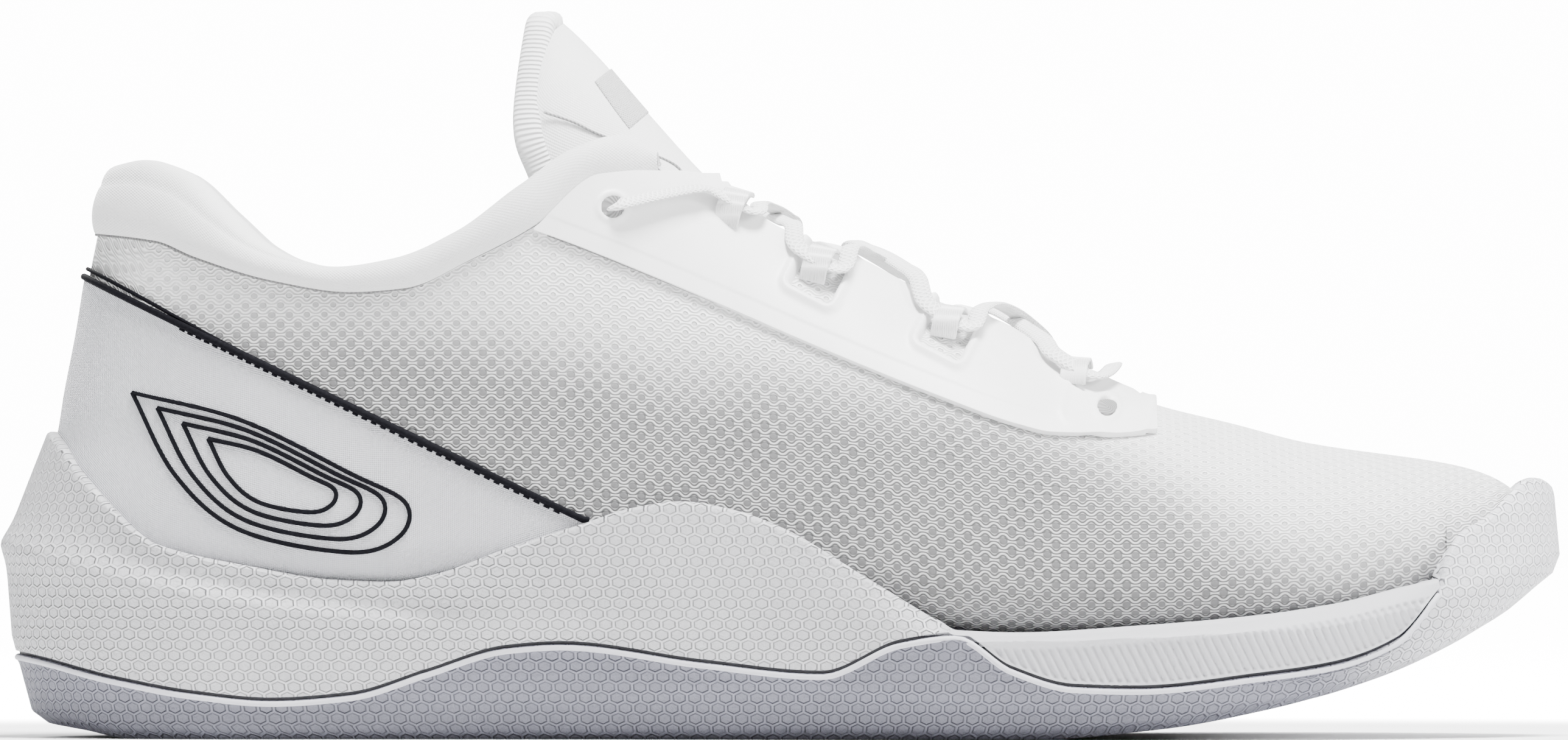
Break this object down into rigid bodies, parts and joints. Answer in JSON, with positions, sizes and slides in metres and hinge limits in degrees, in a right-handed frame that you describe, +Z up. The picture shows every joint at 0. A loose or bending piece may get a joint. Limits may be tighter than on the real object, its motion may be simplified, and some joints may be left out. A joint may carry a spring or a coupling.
{
  "type": "training shoe",
  "caption": "Low-cut lace-up training shoe for the right foot: mesh upper, padded collar and tongue, wave-shaped heel clip, cupped rubber outsole.",
  "frame": {"origin": "on the ground face of the outsole at half the shoe's length, on the sole's lengthwise axis", "axes": "+X to the toe, +Y to the inner (medial) side, +Z up"},
  "size_m": [0.285, 0.1025, 0.1331],
  "materials": {
    "rubber_sole": "matt textured rubber",
    "foam": "matt moulded foam",
    "clip": "satin moulded plastic with embossed cells",
    "board": "stitched fibre board",
    "sock": "brushed cloth on foam",
    "mesh": "knitted mesh with round holes",
    "lining": "smooth knit",
    "stiffener": "matt sheet",
    "film": "fine satin film",
    "black_trim": "satin black",
    "foam_pad": "open foam",
    "jersey": "fine jersey",
    "tongue_cloth": "fine jersey",
    "binding": "ribbed binding",
    "label": "plain grey patch",
    "overlay": "smooth satin film",
    "webbing": "woven webbing",
    "lace": "flat braid"
  },
  "bodies": {
    "shoe": {"outsole": "rubber_sole", "midsole": "foam", "heel_clip": "clip", "strobel_board": "board", "mesh_upper": "mesh", "upper_lining": "lining", "heel_counter": "stiffener", "toe_puff": "stiffener", "heel_panel": "film", "heel_piping": "black_trim", "collar_foam": "foam_pad", "collar_cover": "jersey", "eyestay_lateral": "overlay", "eyestay_medial": "overlay", "heel_trim_lateral": "black_trim", "heel_trim_medial": "black_trim", "lace": "lace", "lace_loop_lateral_1": "webbing", "lace_loop_lateral_2": "webbing", "lace_loop_lateral_3": "webbing", "lace_loop_lateral_4": "webbing", "lace_loop_medial_1": "webbing", "lace_loop_medial_2": "webbing", "lace_loop_medial_3": "webbing", "lace_loop_medial_4": "webbing"},
    "tongue": {"tongue_cover": "tongue_cloth", "tongue_foam": "foam_pad", "tongue_lining": "lining", "tongue_binding": "binding", "tongue_label": "label"},
    "sockliner": {"sockliner": "sock"}
  },
  "joints": [
    {"name": "tongue_hinge", "type": "hinge", "parent": "shoe", "child": "tongue", "pos_m": [0.0665, 0, 0.052], "axis": [0, 1, 0], "range_deg": [-5, 0], "stiffness_Nm_per_rad": 0.4},
    {"name": "sockliner_lift", "type": "hinge", "parent": "shoe", "child": "sockliner", "pos_m": [0.1255, 0, 0.028], "axis": [0, 1, 0], "range_deg": [0, 2.5]}
  ]
}
